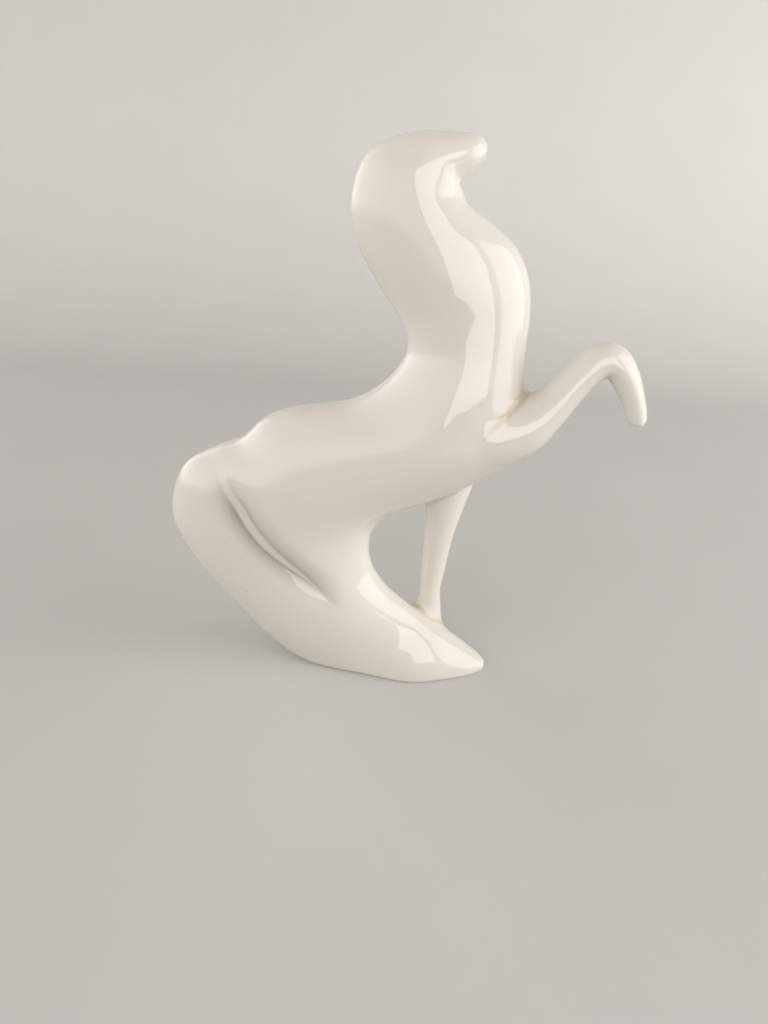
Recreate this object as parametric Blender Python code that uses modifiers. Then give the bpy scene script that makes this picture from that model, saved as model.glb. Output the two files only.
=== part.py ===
"""Rearing horse figurine: hollow porcelain castings and two solid forelegs, luted with slip."""

import bmesh
import bpy
import numpy as np
from mathutils import Vector
from mathutils.bvhtree import BVHTree

MM = 0.001

# Height of the figure from the sole to the top of the head; the tables give its proportions
HEIGHT = 200.1 * MM

# Cast walls, joints and vent, in metres
WALL = 4.0 * MM
SOLE_WALL = 4.5 * MM
SLIP = 1.0 * MM
GAP = 0.3 * MM
TAIL_GROOVE = 2.2 * MM
VALLEY_DEPTH = 2.0 * MM
VALLEY_OFF = 2.5 * MM
VALLEY_ROLL = 12.0 * MM
VALLEY_FADE = 24.0 * MM
VENT_BORE = 5.0 * MM
VENT_X = -14.0 * MM
FILLET = 7.0 * MM
LEG_Y = -4.0 * MM
STRUT_Y = 8.0 * MM
OVERCUT = 4.0 * MM
BLADE_REACH = 32.0 * MM

# Facets: voxel of the blended form, share of its faces kept, points round a section
VOXEL = 1.6 * MM
KEPT = 0.125
AROUND = 24
RINGS = 3
SHARP = 0.7

# Colours of the glazed castings and of the bare slip
GLAZE = (0.86, 0.84, 0.80)
BISQUE = (0.80, 0.76, 0.70)

# Sections of the body from nose to toe, in millimetres for a figure of this height:
# back line x and z, belly line x and z, width across
NOSE = (28.4, 196.6, 27.7, 192.2, 6.0)
MUZZLE = (25.2, 199.5, 23.8, 188.6, 13.0)
CHEEK = (16.0, 200.1, 20.6, 186.4, 18.0)
POLL = (4.0, 199.6, 21.4, 184.0, 22.0)
CREST = (-8.7, 193.9, 24.0, 179.8, 25.5)
MANE = (-13.7, 181.4, 31.5, 174.8, 28.0)
THROAT = (-12.0, 168.0, 40.1, 167.7, 30.0)
NECK = (-4.6, 155.0, 45.3, 157.8, 31.0)
NAPE = (3.6, 143.0, 46.9, 146.0, 30.0)
COLLAR = (6.2, 133.0, 46.8, 134.5, 31.0)
WITHERS = (-1.0, 121.6, 48.0, 122.5, 35.0)
SHOULDER = (-13.0, 113.7, 50.3, 99.0, 39.0)
GIRTH = (-25.5, 110.7, 38.2, 88.4, 40.0)
BARREL = (-36.0, 109.0, 24.5, 80.2, 40.0)
LOIN = (-46.0, 104.8, 11.0, 73.6, 40.0)
CROUP = (-55.0, 96.6, 1.0, 68.2, 40.0)
DOCK = (-65.5, 92.0, -4.2, 61.5, 39.0)
RUMP = (-79.1, 83.3, -5.6, 54.5, 38.0)
TAIL = (-85.2, 64.6, -4.9, 47.4, 37.0)
HOCK = (-78.9, 46.3, -2.2, 40.7, 35.0)
GASKIN = (-65.4, 28.1, 3.1, 33.6, 33.0)
HEEL = (-48.7, 8.6, 9.2, 28.7, 30.0)
ARCH = (-25.0, -10.5, 16.3, 23.4, 27.0)
INSTEP = (0.0, -20.0, 25.8, 17.0, 31.4)
FOOT = (22.0, -16.0, 34.6, 10.8, 24.4)
TOE = (36.0, -9.0, 41.3, 5.9, 15.2)
TIP = (43.4, -3.0, 45.0, 2.6, 7.0)
BODY = (NOSE, MUZZLE, CHEEK, POLL, CREST, MANE, THROAT, NECK, NAPE, COLLAR, WITHERS,
        SHOULDER, GIRTH, BARREL, LOIN, CROUP, DOCK, RUMP, TAIL, HOCK, GASKIN, HEEL,
        ARCH, INSTEP, FOOT, TOE, TIP)
UNIT = HEIGHT / max(row[1] for row in BODY)

# Sections of the raised foreleg from inside the shoulder to the hoof: top line, underside, width
LEG_ROOT = (26.0, 115.0, 29.0, 91.0, 27.0)
BREAST = (38.5, 117.5, 42.8, 94.2, 26.0)
ELBOW = (50.5, 121.4, 53.9, 101.0, 22.5)
FOREARM = (56.5, 126.7, 61.2, 110.5, 18.6)
ARM = (62.3, 133.1, 66.5, 119.2, 15.6)
BEND = (67.8, 138.2, 70.6, 125.3, 13.8)
KNEE = (73.6, 140.2, 74.0, 128.3, 12.6)
SHANK = (79.8, 137.6, 76.0, 126.2, 11.8)
CANNON = (84.1, 131.7, 78.3, 123.2, 10.6)
FETLOCK = (86.9, 125.3, 80.7, 119.5, 9.4)
HOOF = (89.3, 118.4, 82.4, 115.9, 8.8)
HOOF_RIM = (89.9, 114.4, 83.7, 113.2, 8.4)
HOOF_END = (89.1, 112.6, 85.0, 112.3, 6.8)
RAISED_LEG = (LEG_ROOT, BREAST, ELBOW, FOREARM, ARM, BEND, KNEE, SHANK, CANNON, FETLOCK, HOOF,
              HOOF_RIM, HOOF_END)

# Sections of the standing foreleg from the chest down to the foot: rear line, front line, width
STRUT_ROOT = (13.5, 84.0, 37.0, 92.0, 16.0)
STRUT_TOP = (15.4, 69.0, 30.4, 69.0, 13.0)
STRUT_MID = (15.7, 54.0, 27.0, 54.0, 10.5)
STRUT_LOW = (15.4, 40.0, 25.1, 40.0, 9.4)
STRUT_ANKLE = (15.0, 30.0, 24.0, 30.0, 9.4)
STRUT_FLARE = (11.8, 18.5, 25.6, 17.5, 11.0)
STRUT_END = (9.0, 10.0, 27.0, 8.0, 11.0)
STANDING_LEG = (STRUT_ROOT, STRUT_TOP, STRUT_MID, STRUT_LOW, STRUT_ANKLE, STRUT_FLARE, STRUT_END)

# The joint of tail and haunch, seen from the side, from above the dock to the heel
TAIL_LINE = ((-60.5, 101.0), (-58.8, 94.0), (-55.8, 86.0), (-52.0, 77.8), (-46.6, 67.6),
             (-37.6, 56.3), (-22.9, 41.9))


def start_collections():
    """Clear the scene and make the collections for the parts and for their helpers."""
    for obj in list(bpy.data.objects):
        bpy.data.objects.remove(obj, do_unlink=True)
    parts = bpy.data.collections.new("porcelain_horse")
    helpers = bpy.data.collections.new("cutters")
    for collection in (parts, helpers):
        bpy.context.scene.collection.children.link(collection)
    helpers.hide_render = True
    return parts, helpers


def helper(name, mesh, helpers):
    obj = bpy.data.objects.new(name, mesh)
    obj.hide_render = True
    obj.display_type = "WIRE"
    helpers.objects.link(obj)
    return obj


def spline(rows, steps):
    """Rows of numbers with steps spans between neighbours, on a curve through every row."""
    rows = np.array(rows, dtype=float)
    ends = np.vstack((2 * rows[0] - rows[1], rows, 2 * rows[-1] - rows[-2]))
    curve = []
    for before, a, b, after in zip(ends, ends[1:], ends[2:], ends[3:]):
        for t in np.arange(steps) / steps:
            lead = (b - before) * 0.5
            trail = (after - a) * 0.5
            span = b - a
            curve.append(a + t * (lead + t * (3 * span - 2 * lead - trail + t * (lead + trail - 2 * span))))
    curve.append(rows[-1])
    return np.array(curve)


def inset(row, depth):
    """The section with its whole rim moved inwards by depth."""
    back = Vector((row[0] * UNIT, row[1] * UNIT))
    belly = Vector((row[2] * UNIT, row[3] * UNIT))
    step = (belly - back).normalized() * depth
    return (*(back + step), *(belly - step), row[4] * UNIT - 2 * depth)


def loft(name, sections, helpers, y=0.0, depth=0.0):
    """A closed skin through elliptical sections."""
    rows = spline([inset(row, depth) for row in sections], RINGS)
    turn = np.linspace(0.0, 2.0 * np.pi, AROUND, endpoint=False)
    verts = []
    for back_x, back_z, belly_x, belly_z, width in rows:
        across = np.cos(turn) * 0.5
        verts += zip(
            (back_x + belly_x) * 0.5 + across * (back_x - belly_x),
            y + np.sin(turn) * width * 0.5,
            (back_z + belly_z) * 0.5 + across * (back_z - belly_z),
        )
    faces = [tuple(range(AROUND)), tuple(range(len(verts) - AROUND, len(verts)))[::-1]]
    for ring in range(len(rows) - 1):
        first = ring * AROUND
        for k in range(AROUND):
            nxt = (k + 1) % AROUND
            faces.append((first + nxt, first + k, first + AROUND + k, first + AROUND + nxt))
    mesh = bpy.data.meshes.new(name)
    mesh.from_pydata(verts, [], faces)
    face_outwards(mesh)
    return helper(name, mesh, helpers)


def face_outwards(mesh):
    form = bmesh.new()
    form.from_mesh(mesh)
    bmesh.ops.recalc_face_normals(form, faces=form.faces)
    form.to_mesh(mesh)
    form.free()


def slab(name, line, thickness, helpers):
    """A blade across the figure that follows a line seen from the side."""
    line = np.array(line)
    along = np.gradient(line, axis=0)
    along /= np.linalg.norm(along, axis=1)[:, None]
    off = np.stack((-along[:, 1], along[:, 0]), axis=1) * thickness * 0.5
    rim = [*(line + off), *(line - off)[::-1]]
    verts = [(x, y, z) for y in (-BLADE_REACH, BLADE_REACH) for x, z in rim]
    count = len(rim)
    half = len(line)
    faces = []
    for k in range(count):
        nxt = (k + 1) % count
        faces.append((k, nxt, count + nxt, count + k))
    for k in range(half - 1):
        mate = count - 1 - k
        faces.append((k, mate, mate - 1, k + 1))
        faces.append((count + k, count + k + 1, count + mate - 1, count + mate))
    mesh = bpy.data.meshes.new(name)
    mesh.from_pydata(verts, [], faces)
    face_outwards(mesh)
    return helper(name, mesh, helpers)


def box(name, low, high, helpers):
    mesh = bpy.data.meshes.new(name)
    form = bmesh.new()
    bmesh.ops.create_cube(form, size=1.0)
    for vert in form.verts:
        vert.co = [lo + (c + 0.5) * (hi - lo) for c, lo, hi in zip(vert.co, low, high)]
    form.to_mesh(mesh)
    form.free()
    return helper(name, mesh, helpers)


def bore(name, x, diameter, low, high, helpers):
    mesh = bpy.data.meshes.new(name)
    form = bmesh.new()
    bmesh.ops.create_cone(form, cap_ends=True, segments=20, radius1=diameter / 2,
                          radius2=diameter / 2, depth=high - low)
    bmesh.ops.translate(form, verts=form.verts, vec=(x, 0.0, (low + high) / 2))
    form.to_mesh(mesh)
    form.free()
    return helper(name, mesh, helpers)


def apply_modifiers(obj):
    """Keep the evaluated mesh of the object and drop its modifiers."""
    graph = bpy.context.evaluated_depsgraph_get()
    mesh = bpy.data.meshes.new_from_object(obj.evaluated_get(graph))
    obj.modifiers.clear()
    obj.data = mesh


def combine(obj, tool, operation, solver="EXACT"):
    modifier = obj.modifiers.new(operation.lower(), "BOOLEAN")
    modifier.object = tool
    modifier.operation = operation
    modifier.solver = solver
    apply_modifiers(obj)


def copy_of(obj, name, helpers):
    return helper(name, obj.data.copy(), helpers)


def soften_joints(form, skins):
    """Round the corner where one skin runs into another, within FILLET of both."""
    group = form.vertex_groups.new(name="corner")
    for vert in form.data.vertices:
        away = sorted(skin.find_nearest(vert.co)[3] for skin in skins)
        weight = 1.0 - away[1] / FILLET
        if weight > 0.0:
            group.add([vert.index], min(1.0, weight * 1.6), "REPLACE")
    corner = form.modifiers.new("corner", "SMOOTH")
    corner.factor = 0.5
    corner.iterations = 24
    corner.vertex_group = group.name
    skin = form.modifiers.new("skin", "SMOOTH")
    skin.factor = 0.5
    skin.iterations = 2
    apply_modifiers(form)
    form.vertex_groups.clear()


def ease(t):
    t = np.clip(t, 0.0, 1.0)
    return t * t * (3.0 - 2.0 * t)


def press_valley(mesh):
    """Press the valley between haunch and tail into the skin, deepest on the tail's side."""
    line = np.array(tail_cut())
    points = np.array([v.co for v in mesh.vertices])
    normals = np.array([v.normal for v in mesh.vertices])
    spans = np.diff(line, axis=0)
    lengths = np.linalg.norm(spans, axis=1)
    starts = np.concatenate(([0.0], np.cumsum(lengths)))
    away = np.full(len(points), 1.0)
    along = np.zeros(len(points))
    for start, span, length, first in zip(line, spans, lengths, starts):
        t = np.clip((points[:, [0, 2]] - start) @ span / length ** 2, 0.0, 1.0)
        off = points[:, [0, 2]] - start - t[:, None] * span
        side = np.sign(span[0] * off[:, 1] - span[1] * off[:, 0])
        reach = np.linalg.norm(off, axis=1)
        closer = reach < np.abs(away)
        away[closer] = (side * reach)[closer]
        along[closer] = (first + t * length)[closer]
    fade = ease(along / VALLEY_FADE) * ease((starts[-1] - along) / VALLEY_FADE)
    depth = VALLEY_DEPTH * fade * ease(1.0 - np.abs(away + VALLEY_OFF) / VALLEY_ROLL)
    for vert, place in zip(mesh.vertices, points - normals * depth[:, None]):
        vert.co = place


def model_form(helpers):
    """The whole outer form in one skin, with a flat sole at z = 0."""
    limbs = [loft("body", BODY, helpers), loft("raised_leg", RAISED_LEG, helpers, y=LEG_Y),
             loft("standing_leg", STANDING_LEG, helpers, y=STRUT_Y)]
    skins = [BVHTree.FromPolygons([v.co for v in limb.data.vertices],
                                  [list(p.vertices) for p in limb.data.polygons]) for limb in limbs]
    form = limbs[0]
    for limb in limbs[1:]:
        combine(form, limb, "UNION")
    remesh = form.modifiers.new("blend", "REMESH")
    remesh.mode = "VOXEL"
    remesh.voxel_size = VOXEL
    apply_modifiers(form)
    soften_joints(form, skins)
    press_valley(form.data)
    fewer = form.modifiers.new("facets", "DECIMATE")
    fewer.ratio = KEPT
    apply_modifiers(form)
    far = 0.3
    combine(form, box("ground", (-far, -far, -far), (far, far, 0.0), helpers), "DIFFERENCE")
    return form


def model_shell(form, helpers):
    """The form hollowed to the cast wall, with the vent through the sole."""
    far = 0.3
    core = loft("core", BODY[BODY.index(CREST):BODY.index(TOE)], helpers, depth=WALL)
    combine(core, box("below_sole", (-far, -far, -far), (far, far, SOLE_WALL), helpers), "DIFFERENCE")
    shell = copy_of(form, "shell", helpers)
    combine(shell, core, "DIFFERENCE")
    combine(shell, bore("vent", VENT_X, VENT_BORE, -SOLE_WALL, 2 * SOLE_WALL, helpers), "DIFFERENCE")
    return shell


def across(row):
    """The line of a cut along a section, run past both rims."""
    a = Vector((row[0] * UNIT, row[1] * UNIT))
    b = Vector((row[2] * UNIT, row[3] * UNIT))
    past = (b - a).normalized() * OVERCUT
    return [tuple(a - past), tuple(b + past)]


def tail_cut(short=0.0):
    """The line of the tail joint, down to the cut at the heel or a little short of it."""
    line = [Vector(p) * UNIT for p in TAIL_LINE]
    a, b = (Vector(p) for p in across(HEEL))
    along = line[-1] - line[-2]
    cross = b - a
    reach = (a - line[-1]).cross(cross) / along.cross(cross)
    line.append(line[-1] + along * reach - along.normalized() * short)
    return [tuple(p) for p in spline([tuple(p) for p in line], RINGS)]


def islands(mesh):
    """The separate closed pieces of a mesh, each as a mesh of its own."""
    form = bmesh.new()
    form.from_mesh(mesh)
    left = set(form.faces)
    pieces = []
    while left:
        piece = []
        queue = [left.pop()]
        while queue:
            face = queue.pop()
            piece.append([v.index for v in face.verts])
            near = {f for edge in face.edges for f in edge.link_faces} & left
            left -= near
            queue.extend(near)
        pieces.append(mesh_of(mesh, sorted(piece)))
    form.free()
    return sorted(pieces, key=lambda piece: len(piece.vertices))


def mesh_of(mesh, polygons):
    points = {}
    faces = [[points.setdefault(index, len(points)) for index in polygon] for polygon in polygons]
    piece = bpy.data.meshes.new("piece")
    piece.from_pydata([mesh.vertices[index].co for index in points], [], faces)
    return piece


def nearest_piece(pieces, point):
    """The piece whose skin lies nearest to the point."""
    away = []
    for mesh in pieces:
        tree = BVHTree.FromPolygons([v.co for v in mesh.vertices],
                                    [list(p.vertices) for p in mesh.polygons])
        away.append(tree.find_nearest(point)[3])
    return pieces[int(np.argmin(away))]


def fired(name, colour, roughness):
    material = bpy.data.materials.new(name)
    material.use_nodes = True
    shader = material.node_tree.nodes["Principled BSDF"]
    shader.inputs["Base Color"].default_value = (*colour, 1.0)
    shader.inputs["Roughness"].default_value = roughness
    return material


def part(name, mesh, material, parts):
    """One node of the figure, smooth except at its cut rims."""
    obj = bpy.data.objects.new(name, mesh)
    mesh.name = name
    mesh.materials.clear()
    mesh.materials.append(material)
    mesh.shade_smooth()
    mesh.set_sharp_from_angle(angle=SHARP)
    parts.objects.link(obj)
    return obj


def on_back(row, y=0.0):
    return Vector((row[0] * UNIT, y, row[1] * UNIT))


def on_belly(row, y=0.0):
    return Vector((row[2] * UNIT, y, row[3] * UNIT))


def make_castings(shell, cuts, parts, helpers):
    """Saw the shell along every joint and name the castings by a point on each."""
    for name, line in cuts.items():
        kerf = slab(name + "_kerf", line, SLIP + 2 * GAP, helpers)
        combine(shell, kerf, "DIFFERENCE", "MANIFOLD")
    pieces = islands(shell.data)
    seeds = {
        "head": on_back(MUZZLE),
        "neck": on_back(MANE),
        "trunk": on_back(WITHERS),
        "haunch": on_belly(RUMP),
        "tail": on_back(TAIL),
        "hind_foot": on_belly(TOE),
        "raised_foreleg": on_back(KNEE, LEG_Y),
        "standing_foreleg": on_back(STRUT_LOW, STRUT_Y),
    }
    for name, seed in seeds.items():
        part(name, nearest_piece(pieces, seed), fired(name + "_porcelain", GLAZE, 0.12), parts)


def make_slip(whole, cuts, parts, helpers):
    """The slip that fills each joint, flush but for the open groove of the tail."""
    for name, line in cuts.items():
        slip = copy_of(whole, name + "_slip", helpers)
        if name == "tail":
            line = tail_cut(SLIP + 2 * GAP)
            floor = loft("groove_floor", BODY, helpers, depth=TAIL_GROOVE)
            combine(slip, floor, "INTERSECT", "MANIFOLD")
        layer = slab(name + "_layer", line, SLIP, helpers)
        combine(slip, layer, "INTERSECT", "MANIFOLD")
        part("slip_" + name, slip.data, fired("slip_" + name, BISQUE, 0.5), parts)


def model():
    parts, helpers = start_collections()
    form = model_form(helpers)
    shell = model_shell(form, helpers)
    cuts = {
        "poll": across(POLL),
        "collar": across(COLLAR),
        "flank": across(LOIN),
        "heel": across(HEEL),
        "elbow": across(ELBOW),
        "strut_top": across(STRUT_TOP),
        "strut_foot": across(STRUT_ANKLE),
        "tail": tail_cut(),
    }
    whole = copy_of(shell, "whole", helpers)
    make_castings(shell, cuts, parts, helpers)
    make_slip(whole, cuts, parts, helpers)


model()
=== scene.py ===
"""Rearing horse figurine in white glazed porcelain on a pale studio sweep."""

import math

import bmesh
import bpy
import numpy as np
from mathutils import Matrix, Vector
from mathutils.bvhtree import BVHTree


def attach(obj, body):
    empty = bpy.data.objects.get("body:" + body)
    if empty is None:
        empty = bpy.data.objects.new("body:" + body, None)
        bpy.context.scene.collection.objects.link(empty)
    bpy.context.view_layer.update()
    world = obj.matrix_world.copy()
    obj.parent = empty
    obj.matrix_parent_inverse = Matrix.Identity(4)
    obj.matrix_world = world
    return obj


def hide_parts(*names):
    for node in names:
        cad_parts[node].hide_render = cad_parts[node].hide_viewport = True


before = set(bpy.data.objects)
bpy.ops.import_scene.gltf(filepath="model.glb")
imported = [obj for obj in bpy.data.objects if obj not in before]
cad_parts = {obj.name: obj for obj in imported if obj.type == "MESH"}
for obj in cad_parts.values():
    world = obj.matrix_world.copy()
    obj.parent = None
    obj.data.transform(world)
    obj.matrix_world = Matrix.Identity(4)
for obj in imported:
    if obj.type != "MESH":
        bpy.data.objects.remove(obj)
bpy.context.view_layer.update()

MM = 0.001

# How finely the form is drawn: the grid of the skin, points round a section, steps between two
# sections, and sides of a drilled hole
SKIN_GRID = 0.5 * MM
AROUND = 96
RINGS = 12
BORE_SIDES = 48

# Blocks that cut the castings apart reach this far to either side
BLOCK_REACH = 40.0 * MM

# How far the raised and the standing foreleg lie from the plane that halves the body
LEG_Y = -4.0 * MM
STRUT_Y = 8.0 * MM

# Corners between legs and body: how far they are eased and how strongly, the easing of the whole
# skin, and how much a corner fills up where glaze gathers fully
FILLET = 7.0 * MM
FILLET_GAIN = 1.6
FILLET_PASSES = 245
SKIN_PASSES = 20
POOL_FILL = 0.5 * MM

# The sole: its round rim, and the rounder one of the heel, which comes in as the flank turns
# to face backwards. A flank flatter than LEVEL is drawn in less
SOLE_RIM = 1.4 * MM
HEEL_RIM = 7.0 * MM
HEEL_TURN = 0.2
HEEL_TURN_SPAN = 0.6
LEVEL = 0.2
VENT_BORE = 5.0 * MM
VENT_X = -14.0 * MM
VENT_DEPTH = 6.0 * MM

# The groove of the tail: depth, width of the floor, which tapers over a share of its length, place
# beside the joint, and how it fades in and out along the joint
GROOVE_DEPTH = 4.2 * MM
GROOVE_FLOOR = 4.2 * MM
GROOVE_LEAST = 0.2 * MM
TAPER_START = 0.4
TAPER_SPAN = 0.5
GROOVE_SHIFT = 1.2 * MM
GROOVE_START = 10.0 * MM
GROOVE_FADE = 22.0 * MM
GROOVE_STOP = 8.0 * MM
GROOVE_END = 28.0 * MM

# Its two banks: how far each rolls and how tightly, and how far the tail lies below the haunch
HAUNCH_ROLL = 10.0 * MM
HAUNCH_CURL = 2.4
TAIL_ROLL = 10.0 * MM
TAIL_CURL = 2.0
TAIL_STEP = 1.6 * MM
TAIL_REACH = 26.0 * MM

# The painted grey shade of its two creases: how it ends on the floor and up the bank, and how
# strong the one by the haunch is beside the one by the tail
CREASE_EDGE = 0.5 * MM
CREASE_FADE = 3.4 * MM
HAUNCH_CREASE = 0.7

# What tells a cut from the skin: how far off the skin it lies, and how little its face leans to
# the side. A triangle of the skin counts as no thinner than a sliver
OFF_SKIN = 0.02 * MM
CUT_LEAN = 0.02
SLIVER = 1e-24

# Sections of the body from nose to toe, in millimetres:
# back line x and z, belly line x and z, width across
NOSE = (28.4, 196.6, 27.7, 192.2, 6.0)
MUZZLE = (25.2, 199.5, 23.8, 188.6, 13.0)
CHEEK = (16.0, 200.1, 20.6, 186.4, 18.0)
POLL = (4.0, 199.6, 21.4, 184.0, 22.0)
CREST = (-8.7, 193.9, 24.0, 179.8, 25.5)
MANE = (-13.7, 181.4, 31.5, 174.8, 28.0)
THROAT = (-12.0, 168.0, 40.1, 167.7, 30.0)
NECK = (-4.6, 155.0, 45.3, 157.8, 31.0)
NAPE = (3.6, 143.0, 46.9, 146.0, 30.0)
COLLAR = (6.2, 133.0, 46.8, 134.5, 31.0)
WITHERS = (-1.0, 121.6, 48.0, 122.5, 35.0)
SHOULDER = (-13.0, 113.7, 50.3, 99.0, 39.0)
GIRTH = (-25.5, 110.7, 38.2, 88.4, 40.0)
BARREL = (-36.0, 109.0, 24.5, 80.2, 40.0)
LOIN = (-46.0, 104.8, 11.0, 73.6, 40.0)
CROUP = (-55.0, 96.6, 1.0, 68.2, 40.0)
DOCK = (-65.5, 92.0, -4.2, 61.5, 39.0)
RUMP = (-79.1, 83.3, -5.6, 54.5, 38.0)
TAIL = (-85.2, 64.6, -4.9, 47.4, 37.0)
HOCK = (-78.9, 46.3, -2.2, 40.7, 35.0)
GASKIN = (-65.4, 28.1, 3.1, 33.6, 33.0)
HEEL = (-48.7, 8.6, 9.2, 28.7, 30.0)
ARCH = (-25.0, -10.5, 16.3, 23.4, 27.4)
INSTEP = (0.0, -20.0, 25.8, 17.0, 32.6)
FOOT = (22.0, -16.0, 34.6, 10.8, 24.4)
TOE = (36.0, -9.0, 41.3, 5.9, 15.2)
TIP = (43.4, -3.0, 45.0, 2.6, 7.0)
BODY = (NOSE, MUZZLE, CHEEK, POLL, CREST, MANE, THROAT, NECK, NAPE, COLLAR, WITHERS,
        SHOULDER, GIRTH, BARREL, LOIN, CROUP, DOCK, RUMP, TAIL, HOCK, GASKIN, HEEL,
        ARCH, INSTEP, FOOT, TOE, TIP)

# Sections of the raised foreleg from inside the shoulder to the hoof: top line, underside, width
LEG_ROOT = (26.0, 115.0, 29.0, 91.0, 27.0)
BREAST = (38.5, 117.5, 42.8, 94.2, 26.0)
ELBOW = (50.5, 121.4, 53.9, 101.0, 22.5)
FOREARM = (56.5, 126.7, 61.2, 110.5, 18.6)
ARM = (62.3, 133.1, 66.5, 119.2, 15.6)
BEND = (67.8, 138.2, 70.6, 125.3, 13.8)
KNEE = (73.6, 140.2, 74.0, 128.3, 12.6)
SHANK = (79.8, 137.6, 76.0, 126.2, 11.8)
CANNON = (84.1, 131.7, 78.3, 123.2, 10.6)
FETLOCK = (86.9, 125.3, 80.7, 119.5, 9.4)
HOOF = (89.3, 118.4, 82.4, 115.9, 8.8)
HOOF_RIM = (89.9, 114.4, 83.7, 113.2, 8.4)
HOOF_END = (89.1, 112.6, 85.0, 112.3, 6.8)
RAISED_LEG = (LEG_ROOT, BREAST, ELBOW, FOREARM, ARM, BEND, KNEE, SHANK, CANNON, FETLOCK, HOOF,
              HOOF_RIM, HOOF_END)

# Sections of the standing foreleg from the chest down to the foot: rear line, front line, width
STRUT_ROOT = (13.5, 84.0, 37.0, 92.0, 16.0)
STRUT_TOP = (15.4, 69.0, 30.4, 69.0, 13.0)
STRUT_MID = (15.7, 54.0, 27.0, 54.0, 10.5)
STRUT_LOW = (15.4, 40.0, 25.1, 40.0, 9.4)
STRUT_ANKLE = (15.0, 30.0, 24.0, 30.0, 9.4)
STRUT_FLARE = (11.8, 18.5, 25.6, 17.5, 11.0)
STRUT_END = (9.0, 10.0, 27.0, 8.0, 11.0)
STANDING_LEG = (STRUT_ROOT, STRUT_TOP, STRUT_MID, STRUT_LOW, STRUT_ANKLE, STRUT_FLARE, STRUT_END)

# The joint of tail and haunch, seen from the side, from above the dock to the heel
TAIL_LINE = ((-60.5, 101.0), (-58.8, 94.0), (-55.8, 86.0), (-52.0, 77.8), (-46.6, 67.6),
             (-37.6, 56.3), (-22.9, 41.9))

# The layers of slip that each casting's glaze runs over
SLIPS = {
    "head": ["slip_poll"],
    "neck": ["slip_collar"],
    "haunch": ["slip_flank"],
    "tail": ["slip_tail"],
    "hind_foot": ["slip_heel"],
    "raised_foreleg": ["slip_elbow"],
    "standing_foreleg": ["slip_strut_top", "slip_strut_foot"],
}

# The camera: place in metres, lens in millimetres, and turns in degrees
CAMERA_PLACE = (0.025505, -0.242663, 0.190)
CAMERA_SENSOR = 36.0
CAMERA_LENS = 24.61
CAMERA_NEAR = 0.01
CAMERA_TURN = 6.0
CAMERA_DOWN = 26.30
CAMERA_ROLL = 1.83

# The sweep, in metres: half its width, its front edge, its back wall, the bend between, its top
SWEEP_HALF = 0.7
SWEEP_FRONT = -0.36
SWEEP_BACK = 0.75
SWEEP_BEND = 0.35
SWEEP_TOP = 1.4
SWEEP_STEPS = 32

DAYLIGHT_TINT = (1.0, 0.99, 0.975)
ROOM_SHOWN = 0.62


def set_camera():
    """A close wide lens, a little above the back, that looks down at the figure."""
    camera = bpy.data.objects.new("camera", bpy.data.cameras.new("camera"))
    camera.data.sensor_width = CAMERA_SENSOR
    camera.data.lens = CAMERA_LENS
    camera.data.clip_start = CAMERA_NEAR
    turn = Matrix.Rotation(math.radians(CAMERA_TURN), 4, "Z")
    tilt = Matrix.Rotation(math.radians(90.0 - CAMERA_DOWN), 4, "X")
    roll = Matrix.Rotation(math.radians(CAMERA_ROLL), 4, "Z")
    camera.matrix_world = Matrix.Translation(CAMERA_PLACE) @ turn @ tilt @ roll
    bpy.context.scene.collection.objects.link(camera)
    bpy.context.scene.camera = camera


def new_object(name, data):
    obj = bpy.data.objects.new(name, data)
    bpy.context.scene.collection.objects.link(obj)
    return obj


def ease(t):
    """From 0 to 1 with a soft start and a soft end."""
    t = np.clip(t, 0.0, 1.0)
    return t * t * (3.0 - 2.0 * t)


def spline(rows, steps):
    """Rows of numbers with steps spans between neighbours, on a curve through every row."""
    rows = np.array(rows, dtype=float)
    ends = np.vstack((2 * rows[0] - rows[1], rows, 2 * rows[-1] - rows[-2]))
    curve = []
    for before, a, b, after in zip(ends, ends[1:], ends[2:], ends[3:]):
        lead = (b - before) * 0.5
        trail = (after - a) * 0.5
        span = b - a
        square = 3 * span - 2 * lead - trail
        cube = lead + trail - 2 * span
        for t in np.arange(steps) / steps:
            curve.append(a + t * (lead + t * (square + t * cube)))
    curve.append(rows[-1])
    return np.array(curve)


def face_outwards(mesh):
    form = bmesh.new()
    form.from_mesh(mesh)
    bmesh.ops.recalc_face_normals(form, faces=form.faces)
    form.to_mesh(mesh)
    form.free()


def loft(name, sections, y=0.0):
    """A closed skin through elliptical sections."""
    turn = np.linspace(0.0, 2.0 * np.pi, AROUND, endpoint=False)
    across = np.cos(turn) * 0.5
    verts = []
    rows = spline(sections, RINGS) * MM
    for back_x, back_z, belly_x, belly_z, width in rows:
        verts += zip(
            (back_x + belly_x) * 0.5 + across * (back_x - belly_x),
            y + np.sin(turn) * width * 0.5,
            (back_z + belly_z) * 0.5 + across * (back_z - belly_z),
        )
    faces = [tuple(range(AROUND)), tuple(range(len(verts) - AROUND, len(verts)))[::-1]]
    for ring in range(len(rows) - 1):
        first = ring * AROUND
        for k in range(AROUND):
            nxt = (k + 1) % AROUND
            faces.append((first + nxt, first + k, first + AROUND + k, first + AROUND + nxt))
    mesh = bpy.data.meshes.new(name)
    mesh.from_pydata(verts, [], faces)
    face_outwards(mesh)
    return new_object(name, mesh)


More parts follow.
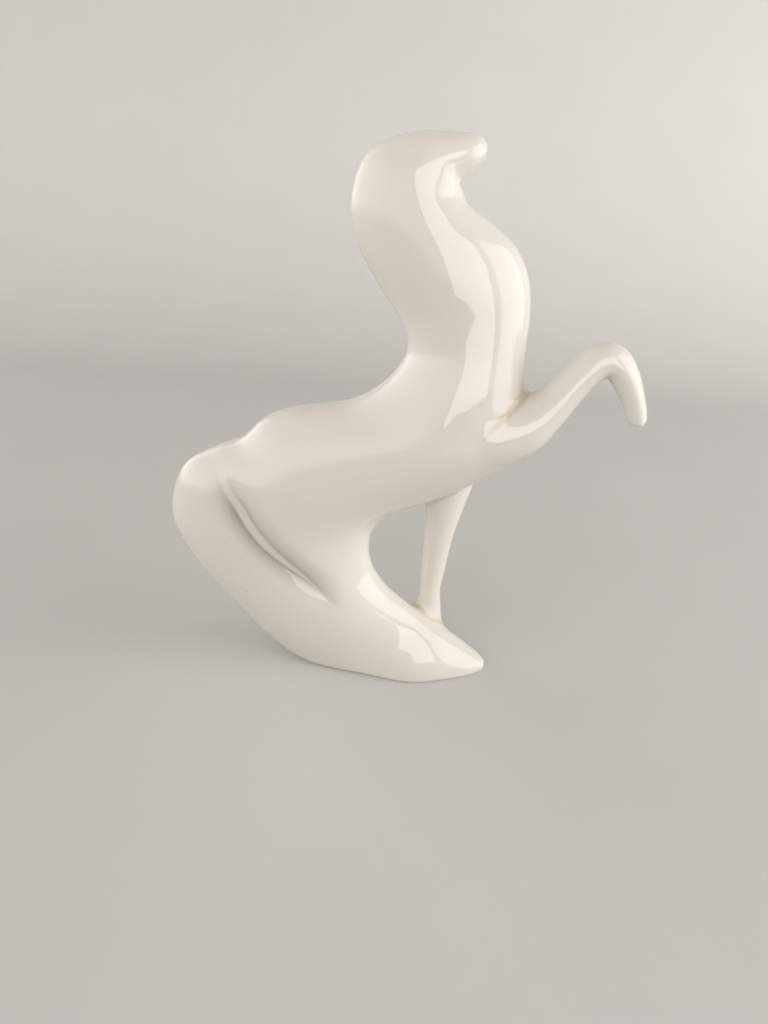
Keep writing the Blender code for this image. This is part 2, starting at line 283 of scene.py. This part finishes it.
def prism(name, outline):
    """A block across the figure on an outline that is drawn from the side."""
    form = bmesh.new()
    rim = [form.verts.new((x * MM, -BLOCK_REACH, z * MM)) for x, z in outline]
    face = form.faces.new(rim)
    walls = bmesh.ops.extrude_face_region(form, geom=[face])
    moved = [item for item in walls["geom"] if isinstance(item, bmesh.types.BMVert)]
    bmesh.ops.translate(form, verts=moved, vec=(0.0, 2 * BLOCK_REACH, 0.0))
    bmesh.ops.recalc_face_normals(form, faces=form.faces)
    bmesh.ops.triangulate(form, faces=form.faces)
    mesh = bpy.data.meshes.new(name)
    form.to_mesh(mesh)
    form.free()
    return new_object(name, mesh)


def bore(name, x, diameter, low, high):
    """An upright round bar that drills a hole."""
    mesh = bpy.data.meshes.new(name)
    form = bmesh.new()
    bmesh.ops.create_cone(form, cap_ends=True, segments=BORE_SIDES, radius1=diameter / 2,
                          radius2=diameter / 2, depth=high - low)
    bmesh.ops.translate(form, verts=form.verts, vec=(x, 0.0, (low + high) / 2))
    form.to_mesh(mesh)
    form.free()
    return new_object(name, mesh)


def apply_modifiers(obj):
    """Keep the evaluated mesh of the object and drop its modifiers."""
    graph = bpy.context.evaluated_depsgraph_get()
    mesh = bpy.data.meshes.new_from_object(obj.evaluated_get(graph))
    obj.modifiers.clear()
    obj.data = mesh


def combine(obj, tool, operation):
    """Join or cut with the tool, which is used up."""
    modifier = obj.modifiers.new(operation.lower(), "BOOLEAN")
    modifier.object = tool
    modifier.operation = operation
    modifier.solver = "MANIFOLD"
    apply_modifiers(obj)
    bpy.data.objects.remove(tool)


def read(items, key, width, kind=np.float32):
    """All values of one property, as rows."""
    flat = np.empty(len(items) * width, kind)
    items.foreach_get(key, flat)
    return flat.reshape(-1, width)


def points_of(mesh):
    return read(mesh.vertices, "co", 3).astype(float)


def normals_of(mesh):
    return read(mesh.vertex_normals, "vector", 3).astype(float)


def move_points(mesh, points):
    mesh.vertices.foreach_set("co", points.astype(np.float32).ravel())
    mesh.update()


def tree_of(mesh):
    return BVHTree.FromPolygons([v.co for v in mesh.vertices],
                                [list(p.vertices) for p in mesh.polygons])


def smooth(obj, passes, group=""):
    modifier = obj.modifiers.new("smooth", "SMOOTH")
    modifier.factor = 0.5
    modifier.iterations = passes
    modifier.vertex_group = group


def soften_corners(skin, limbs):
    """Round the corner where a leg runs into the body, and ease the whole skin a little.
    Returns how far each corner filled up, which is where glaze gathers."""
    trees = [tree_of(limb) for limb in limbs]
    group = skin.vertex_groups.new(name="corner")
    for vert in skin.data.vertices:
        apart = sorted(tree.find_nearest(vert.co)[3] for tree in trees)[1]
        weight = (1.0 - apart / FILLET) * FILLET_GAIN
        if weight > 0.0:
            group.add([vert.index], min(1.0, weight), "REPLACE")
    before = points_of(skin.data)
    smooth(skin, FILLET_PASSES, group.name)
    smooth(skin, SKIN_PASSES)
    apply_modifiers(skin)
    skin.vertex_groups.clear()
    fill = ((points_of(skin.data) - before) * normals_of(skin.data)).sum(1)
    return ease(fill / POOL_FILL)


def round_sole(mesh):
    """Draw the flank in towards the ground, so that the rim of the sole is round, most of all
    at the heel."""
    points = points_of(mesh)
    inward = -normals_of(mesh)
    inward[:, 2] = 0.0
    inward /= np.maximum(np.linalg.norm(inward, axis=1), LEVEL)[:, None]
    heel = ease((inward[:, 0] - HEEL_TURN) / HEEL_TURN_SPAN)
    rim = SOLE_RIM + (HEEL_RIM - SOLE_RIM) * heel
    low = np.clip(1.0 - points[:, 2] / rim, 0.0, 1.0)
    points += inward * (rim * (1.0 - np.sqrt(1.0 - low ** 2)))[:, None]
    move_points(mesh, points)


def tail_joint():
    """The line of the tail joint from the side, down to the cut at the heel, in millimetres."""
    line = [Vector(p) for p in TAIL_LINE]
    a = Vector(HEEL[:2])
    cross = Vector(HEEL[2:4]) - a
    along = line[-1] - line[-2]
    stretch = (a - line[-1]).cross(cross) / along.cross(cross)
    line.append(line[-1] + along * stretch)
    return spline([tuple(p) for p in line], RINGS)


def beside_tail_joint(points):
    """How far each point lies from the tail joint, seen from the side, with the haunch above
    zero, how far along the joint it lies, and the length of the joint."""
    line = tail_joint() * MM
    flat = points[:, [0, 2]]
    spans = np.diff(line, axis=0)
    lengths = np.linalg.norm(spans, axis=1)
    starts = np.concatenate(([0.0], np.cumsum(lengths)))
    away = np.full(len(points), 1.0)
    along = np.zeros(len(points))
    for a, span, length, start in zip(line, spans, lengths, starts):
        t = np.clip((flat - a) @ span / length ** 2, 0.0, 1.0)
        off = flat - a - t[:, None] * span
        side = np.sign(span[0] * off[:, 1] - span[1] * off[:, 0])
        gap = np.linalg.norm(off, axis=1)
        closer = gap < np.abs(away)
        away[closer] = (side * gap)[closer]
        along[closer] = (start + t * length)[closer]
    return away, along, starts[-1]


def carve_groove(mesh):
    """Press the groove of the tail: the haunch rolls down to a floor that tapers, on the other
    side of which the tail rises less far, so that the haunch stands proud of it.
    Returns where shade is painted along the two creases of the floor."""
    points = points_of(mesh)
    away, along, whole = beside_tail_joint(points)
    away += GROOVE_SHIFT
    fade_in = ease((along - GROOVE_START) / GROOVE_FADE)
    fade_out = ease((whole - along - GROOVE_STOP) / GROOVE_END)
    fade = fade_in * fade_out
    taper = ease((along / whole - TAPER_START) / TAPER_SPAN)
    past = -away - (GROOVE_FLOOR * (1.0 - taper) + GROOVE_LEAST)
    haunch = GROOVE_DEPTH * np.clip(1.0 - away / HAUNCH_ROLL, 0.0, 1.0) ** HAUNCH_CURL
    bank = (GROOVE_DEPTH - TAIL_STEP) * np.clip(1.0 - past / TAIL_ROLL, 0.0, 1.0) ** TAIL_CURL
    tail = bank + TAIL_STEP * ease(1.0 - past / TAIL_REACH)
    depth = np.where(away > 0.0, haunch, np.where(past < 0.0, GROOVE_DEPTH, tail))
    move_points(mesh, points - normals_of(mesh) * (depth * fade)[:, None])
    # Painted shade: a grey that lies along the two creases of the floor, sharp on the floor side and
    # fading up each bank
    by_haunch = np.exp(-np.where(away > 0.0, away / CREASE_FADE, -away / CREASE_EDGE))
    by_tail = np.exp(-np.where(past > 0.0, past / CREASE_FADE, -past / CREASE_EDGE))
    return fade * np.maximum(HAUNCH_CREASE * by_haunch, by_tail)


def model_skin():
    """The whole outer form in one fine skin, where glaze gathers on it, and where shade is painted
    into the groove of the tail.
    """
    body = loft("skin", BODY)
    legs = [loft("raised_leg", RAISED_LEG, LEG_Y), loft("standing_leg", STANDING_LEG, STRUT_Y)]
    limbs = [body.data.copy()] + [leg.data.copy() for leg in legs]
    for leg in legs:
        combine(body, leg, "UNION")
    remesh = body.modifiers.new("blend", "REMESH")
    remesh.mode = "VOXEL"
    remesh.voxel_size = SKIN_GRID
    apply_modifiers(body)
    pool = soften_corners(body, limbs)
    # Where shade is painted along the groove of the tail
    crease = carve_groove(body.data)
    round_sole(body.data)
    body.modifiers.new("triangles", "TRIANGULATE")
    apply_modifiers(body)
    return body, {"pool": pool, "crease": crease}


def cut_ends(row, before, after):
    """The two ends of a cut along a section, past the back line and past the belly line."""
    a = Vector(row[:2])
    b = Vector(row[2:4])
    along = (b - a).normalized()
    return tuple(a - along * before), tuple(b + along * after)


def territories():
    """The outline of each casting's share of the form, seen from the side, in millimetres.
    Corners that lie off the figure only close an outline."""
    poll, throat = cut_ends(POLL, 6.0, 3.0)
    nape, chest = cut_ends(COLLAR, 6.0, 6.0)
    loin, belly = cut_ends(LOIN, 6.0, 2.3)
    elbow, armpit = cut_ends(ELBOW, 6.0, 6.0)
    heel, hollow = cut_ends(HEEL, 6.0, 3.0)
    tail = [tuple(p) for p in tail_joint()]
    # The standing foreleg is cut level, at its top and at its ankle
    top = STRUT_TOP[1]
    ankle = STRUT_ANKLE[1]
    return {
        "head": [poll, (0.0, 215.0), (45.0, 215.0), (45.0, throat[1]), throat],
        "neck": [poll, (-40.0, poll[1]), (-40.0, nape[1]), nape, chest, (58.0, chest[1]),
                 (58.0, throat[1]), throat],
        "trunk": [nape, (-60.0, nape[1]), (-60.0, 112.0), loin, belly, (13.0, top), (34.0, top),
                  (34.0, 80.0), (armpit[0], 80.0), armpit, elbow, chest],
        "raised_foreleg": [elbow, (elbow[0], 134.0), (58.0, 134.0), (58.0, 150.0), (110.0, 150.0),
                           (110.0, 90.0), (armpit[0], 90.0), armpit],
        "haunch": [loin, *tail, hollow, (12.5, 60.0), belly],
        "tail": [tail[0], (tail[0][0], 112.0), (-110.0, 112.0), (-110.0, heel[1]), heel,
                 *tail[:0:-1]],
        "hind_foot": [heel, (-110.0, heel[1]), (-110.0, 0.0), (80.0, 0.0), (80.0, ankle),
                      (12.2, ankle), hollow, tail[-1]],
        "standing_foreleg": [(12.2, ankle), (34.0, ankle), (34.0, top), (13.0, top)],
    }


def carry_glaze_and_shade(piece, skin, tree, glaze_and_shade):
    """Give a casting the whole skin's shading, its glaze tint and its painted shade in the groove, so
    that its joints don't show.
    Returns which of its faces are not part of the glazed skin."""
    mesh = piece.data
    # Each point's share of the three corners of the skin's triangle that it lies on
    hits = [tree.find_nearest(v.co) for v in mesh.vertices]
    triangles = read(skin.loops, "vertex_index", 1, np.int32).reshape(-1, 3)
    triangles = triangles[[hit[2] for hit in hits]]
    corners = points_of(skin)[triangles]
    local = np.array([hit[0] for hit in hits]) - corners[:, 0]
    first = corners[:, 1] - corners[:, 0]
    second = corners[:, 2] - corners[:, 0]
    ff, fs, ss, lf, ls = ((a * b).sum(1) for a, b in (
        (first, first), (first, second), (second, second), (local, first), (local, second)))
    area = np.maximum(ff * ss - fs * fs, SLIVER)
    v = (ss * lf - fs * ls) / area
    w = (ff * ls - fs * lf) / area
    share = np.clip(np.stack((1.0 - v - w, v, w), axis=1), 0.0, 1.0)
    share /= share.sum(1)[:, None]
    # The pooled-glaze tint and the painted shade of the groove's creases
    for name, amount in glaze_and_shade.items():
        layer = mesh.attributes.new(name, "FLOAT", "POINT")
        layer.data.foreach_set("value", (amount[triangles] * share).sum(1).astype(np.float32))
    smooth_normal = (normals_of(skin)[triangles] * share[:, :, None]).sum(1)
    # The sole, the walls of the cuts and the vent are flat, and the rest is shaded as the skin is
    centre = read(mesh.polygons, "center", 3)
    normal = read(mesh.polygons, "normal", 3)
    near_vent = np.hypot(centre[:, 0] - VENT_X, centre[:, 1]) < VENT_BORE
    in_vent = near_vent & (centre[:, 2] < 1.1 * VENT_DEPTH)
    flat = centre[:, 2] < OFF_SKIN
    for k in np.flatnonzero((np.abs(normal[:, 1]) < CUT_LEAN) | in_vent):
        flat[k] |= tree.find_nearest(centre[k])[3] > OFF_SKIN
    shown = smooth_normal[read(mesh.loops, "vertex_index", 1, np.int32)[:, 0]]
    sides = read(mesh.polygons, "loop_total", 1, np.int32)[:, 0]
    owner = np.repeat(np.arange(len(mesh.polygons)), sides)
    shown[flat[owner]] = normal[owner[flat[owner]]]
    mesh.shade_smooth()
    mesh.normals_split_custom_set(shown)
    return flat


def srgb(code):
    """Linear colour of a hex value."""
    parts = [int(code[k:k + 2], 16) / 255.0 for k in (0, 2, 4)]
    return (*(c / 12.92 if c < 0.04045 else ((c + 0.055) / 1.055) ** 2.4 for c in parts), 1.0)


def add(tree, kind, settings=(), inputs=()):
    """A node with its settings and its inputs, which are values or other nodes' outputs."""
    node = tree.nodes.new(kind)
    for key, value in dict(settings).items():
        setattr(node, key, value)
    for key, value in dict(inputs).items():
        if isinstance(value, bpy.types.NodeSocket):
            tree.links.new(value, node.inputs[key])
        else:
            node.inputs[key].default_value = value
    return node


def new_material(name):
    material = bpy.data.materials.new(name)
    material.use_nodes = True
    tree = material.node_tree
    tree.nodes.clear()
    shader = add(tree, "ShaderNodeBsdfPrincipled")
    add(tree, "ShaderNodeOutputMaterial", {}, {"Surface": shader.outputs["BSDF"]})
    return material, tree, shader


def glazed_porcelain():
    """White porcelain under a clear poured glaze: a hard gloss with a slow ripple in it, a warm white
    that clouds a little, a yellow tint where the glaze gathers, a painted grey shade along the creases
    in the groove of the tail, and the odd iron speck."""
    material, tree, shader = new_material("glazed_porcelain")
    cloud_size = 45.0 * MM
    run_size = 12.0 * MM
    speck_spacing = 12.0 * MM
    ripple_size = 9.0 * MM
    ripple_height = 0.1 * MM
    place = add(tree, "ShaderNodeTexCoord").outputs["Object"]
    cloud = add(tree, "ShaderNodeTexNoise", {}, {
        "Vector": place, "Scale": 1.0 / cloud_size, "Detail": 3.0})
    white = add(tree, "ShaderNodeMix", {"data_type": "RGBA"}, {
        0: cloud.outputs["Fac"], 6: srgb("EEE9E1"), 7: srgb("E4DDD3")})
    gathered = add(tree, "ShaderNodeAttribute", {"attribute_name": "pool"})
    uneven = add(tree, "ShaderNodeTexNoise", {}, {
        "Vector": place, "Scale": 1.0 / run_size, "Detail": 2.0})
    thick = add(tree, "ShaderNodeMath", {"operation": "MULTIPLY"}, {
        0: gathered.outputs["Fac"], 1: uneven.outputs["Fac"]})
    tinted = add(tree, "ShaderNodeMix", {"data_type": "RGBA"}, {
        0: thick.outputs["Value"], 6: white.outputs[2], 7: srgb("CDB48C")})
    # Painted shade: the colour is mixed towards grey along the two creases of the tail's groove
    crease = add(tree, "ShaderNodeAttribute", {"attribute_name": "crease"})
    painted_shade = add(tree, "ShaderNodeMath", {"operation": "MULTIPLY"}, {
        0: crease.outputs["Fac"], 1: 0.85})
    shaded_colour = add(tree, "ShaderNodeMix", {"data_type": "RGBA"}, {
        0: painted_shade.outputs["Value"], 6: tinted.outputs[2], 7: srgb("A1988C")})
    specks = add(tree, "ShaderNodeTexVoronoi", {}, {"Vector": place, "Scale": 1.0 / speck_spacing})
    speck = add(tree, "ShaderNodeMapRange", {}, {
        "Value": specks.outputs["Distance"], "From Min": 0.022, "From Max": 0.034,
        "To Min": 0.8, "To Max": 0.0})
    colour = add(tree, "ShaderNodeMix", {"data_type": "RGBA"}, {
        0: speck.outputs["Result"], 6: shaded_colour.outputs[2], 7: srgb("6E5B48")})
    ripple = add(tree, "ShaderNodeTexNoise", {}, {
        "Vector": place, "Scale": 1.0 / ripple_size, "Detail": 1.0})
    wave = add(tree, "ShaderNodeBump", {}, {
        "Height": ripple.outputs["Fac"], "Strength": 1.0, "Distance": ripple_height})
    gloss = add(tree, "ShaderNodeMapRange", {}, {
        "Value": cloud.outputs["Fac"], "To Min": 0.02, "To Max": 0.05})
    tree.links.new(colour.outputs[2], shader.inputs["Base Color"])
    tree.links.new(gloss.outputs["Result"], shader.inputs["Roughness"])
    tree.links.new(wave.outputs["Normal"], shader.inputs["Normal"])
    shader.inputs["IOR"].default_value = 1.5
    return material


def bare_porcelain():
    """Unglazed fired porcelain on the wiped sole and in the vent: matt, chalky, with a fine sandy
    grain."""
    material, tree, shader = new_material("bare_porcelain")
    cloud_size = 8.0 * MM
    # Real grit is about 0.1 mm; it is drawn at 0.6 mm so that it shows
    grit_size = 0.6 * MM
    grit_height = 0.08 * MM
    place = add(tree, "ShaderNodeTexCoord").outputs["Object"]
    cloud = add(tree, "ShaderNodeTexNoise", {}, {
        "Vector": place, "Scale": 1.0 / cloud_size, "Detail": 5.0})
    colour = add(tree, "ShaderNodeMix", {"data_type": "RGBA"}, {
        0: cloud.outputs["Fac"], 6: srgb("E2D8C8"), 7: srgb("CDBFAB")})
    grit = add(tree, "ShaderNodeTexNoise", {}, {
        "Vector": place, "Scale": 1.0 / grit_size, "Detail": 2.0})
    rough = add(tree, "ShaderNodeBump", {}, {
        "Height": grit.outputs["Fac"], "Strength": 0.6, "Distance": grit_height})
    dull = add(tree, "ShaderNodeMapRange", {}, {
        "Value": grit.outputs["Fac"], "To Min": 0.62, "To Max": 0.85})
    tree.links.new(colour.outputs[2], shader.inputs["Base Color"])
    tree.links.new(dull.outputs["Result"], shader.inputs["Roughness"])
    tree.links.new(rough.outputs["Normal"], shader.inputs["Normal"])
    return material


def studio_paper():
    """Matt paper with a faint mottle. It looks pale, and throws little light back up on the figure."""
    material, tree, shader = new_material("studio_paper")
    mottle_size = 60.0 * MM
    place = add(tree, "ShaderNodeTexCoord").outputs["Object"]
    mottle = add(tree, "ShaderNodeTexNoise", {}, {
        "Vector": place, "Scale": 1.0 / mottle_size, "Detail": 4.0})
    pale = add(tree, "ShaderNodeMix", {"data_type": "RGBA"}, {
        0: mottle.outputs["Fac"], 6: srgb("DDDCD9"), 7: srgb("D7D6D3")})
    path = add(tree, "ShaderNodeLightPath")
    seen = add(tree, "ShaderNodeMath", {"operation": "MAXIMUM"}, {
        0: path.outputs["Is Camera Ray"], 1: path.outputs["Is Glossy Ray"]})
    shown = add(tree, "ShaderNodeMath", {"operation": "MAXIMUM"}, {
        0: seen.outputs["Value"], 1: path.outputs["Is Transmission Ray"]})
    colour = add(tree, "ShaderNodeMix", {"data_type": "RGBA"}, {
        0: shown.outputs["Value"], 6: srgb("9C9B98"), 7: pale.outputs[2]})
    tree.links.new(colour.outputs[2], shader.inputs["Base Color"])
    shader.inputs["Roughness"].default_value = 0.9
    return material


def make_castings():
    """The eight castings of the figure, each cut out of the one skin."""
    skin, glaze_and_shade = model_skin()
    tree = tree_of(skin.data)
    glossy = glazed_porcelain()
    bisque = bare_porcelain()
    for name, outline in territories().items():
        piece = new_object("glazed_" + name, skin.data.copy())
        combine(piece, prism("share", outline), "INTERSECT")
        if name == "hind_foot":
            combine(piece, bore("vent", VENT_X, VENT_BORE, -VENT_DEPTH, VENT_DEPTH), "DIFFERENCE")
        bare = carry_glaze_and_shade(piece, skin.data, tree, glaze_and_shade)
        piece.data.materials.clear()
        piece.data.materials.append(glossy)
        piece.data.materials.append(bisque)
        piece.data.polygons.foreach_set("material_index", bare.astype(np.int32))
        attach(piece, "root")
        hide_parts(name, *SLIPS.get(name, []))
    bpy.data.objects.remove(skin)


def make_sweep():
    """A pale table top that curves up into a backdrop."""
    flat_end = SWEEP_BACK - SWEEP_BEND
    profile = [(SWEEP_FRONT, 0.0), (flat_end, 0.0)]
    for k in range(1, SWEEP_STEPS + 1):
        angle = k / SWEEP_STEPS * math.pi / 2
        profile.append((flat_end + math.sin(angle) * SWEEP_BEND,
                        SWEEP_BEND - math.cos(angle) * SWEEP_BEND))
    profile.append((SWEEP_BACK, SWEEP_TOP))
    verts = []
    for side in (-1.0, 1.0):
        verts += [(side * SWEEP_HALF, y, z) for y, z in profile]
    count = len(profile)
    faces = [(k, k + count, k + count + 1, k + 1) for k in range(count - 1)]
    mesh = bpy.data.meshes.new("sweep")
    mesh.from_pydata(verts, [], faces)
    mesh.shade_smooth()
    mesh.materials.append(studio_paper())
    new_object("sweep", mesh)


def add_softbox(name, place, width, height, watts):
    """An upright pane of light that faces the figure."""
    lamp = bpy.data.lights.new(name, "AREA")
    lamp.shape = "RECTANGLE"
    lamp.size = width
    lamp.size_y = height
    lamp.energy = watts
    lamp.color = DAYLIGHT_TINT
    obj = new_object(name, lamp)
    look = Vector((-place[0], -place[1], 0.0))
    turn = look.to_track_quat("-Z", "Y").to_matrix().to_4x4()
    obj.matrix_world = Matrix.Translation(place) @ turn
    return obj


def light_studio():
    """Daylight from the right, the two panes of a window that show in the glaze, and a room that is
    bright along the horizon, most of all at the left, and dim above."""
    daylight = add_softbox("daylight", (1.30, -0.15, 0.30), 0.80, 0.70, watts=11.5)
    daylight.visible_glossy = False
    right_pane = add_softbox("right_pane", (0.412, -0.080, 0.245), 0.42, 0.48, watts=1.45)
    right_pane.visible_diffuse = False
    front_pane = add_softbox("front_pane", (0.167, -0.386, 0.235), 0.30, 0.33, watts=1.05)
    front_pane.visible_diffuse = False
    world = bpy.data.worlds.new("room")
    bpy.context.scene.world = world
    world.use_nodes = True
    tree = world.node_tree
    background = tree.nodes["Background"]
    background.inputs["Color"].default_value = srgb("F6F3EF")
    towards = add(tree, "ShaderNodeSeparateXYZ", {}, {
        "Vector": add(tree, "ShaderNodeTexCoord").outputs["Generated"]})
    left = add(tree, "ShaderNodeMapRange", {"interpolation_type": "SMOOTHSTEP"}, {
        "Value": towards.outputs["X"], "From Min": 0.4, "From Max": -0.8,
        "To Min": 1.16, "To Max": 2.4})
    low = add(tree, "ShaderNodeMapRange", {"interpolation_type": "SMOOTHSTEP"}, {
        "Value": towards.outputs["Z"], "From Min": 0.8, "From Max": 0.1,
        "To Min": 0.3, "To Max": 1.0})
    raised = add(tree, "ShaderNodeMapRange", {"interpolation_type": "SMOOTHSTEP"}, {
        "Value": towards.outputs["Z"], "From Min": -0.14, "From Max": 0.02,
        "To Min": 0.3, "To Max": 1.0})
    band = add(tree, "ShaderNodeMath", {"operation": "MULTIPLY"}, {
        0: low.outputs["Result"], 1: raised.outputs["Result"]})
    glow = add(tree, "ShaderNodeMath", {"operation": "MULTIPLY"}, {
        0: left.outputs["Result"], 1: band.outputs["Value"]})
    # The camera sees an even pale room past the edges of the table
    shown = add(tree, "ShaderNodeMix", {"data_type": "FLOAT"}, {
        0: add(tree, "ShaderNodeLightPath").outputs["Is Camera Ray"], 2: glow.outputs["Value"],
        3: ROOM_SHOWN})
    tree.links.new(shown.outputs[0], background.inputs["Strength"])


bpy.context.scene.view_settings.view_transform = "Standard"
set_camera()
make_castings()
make_sweep()
light_studio()
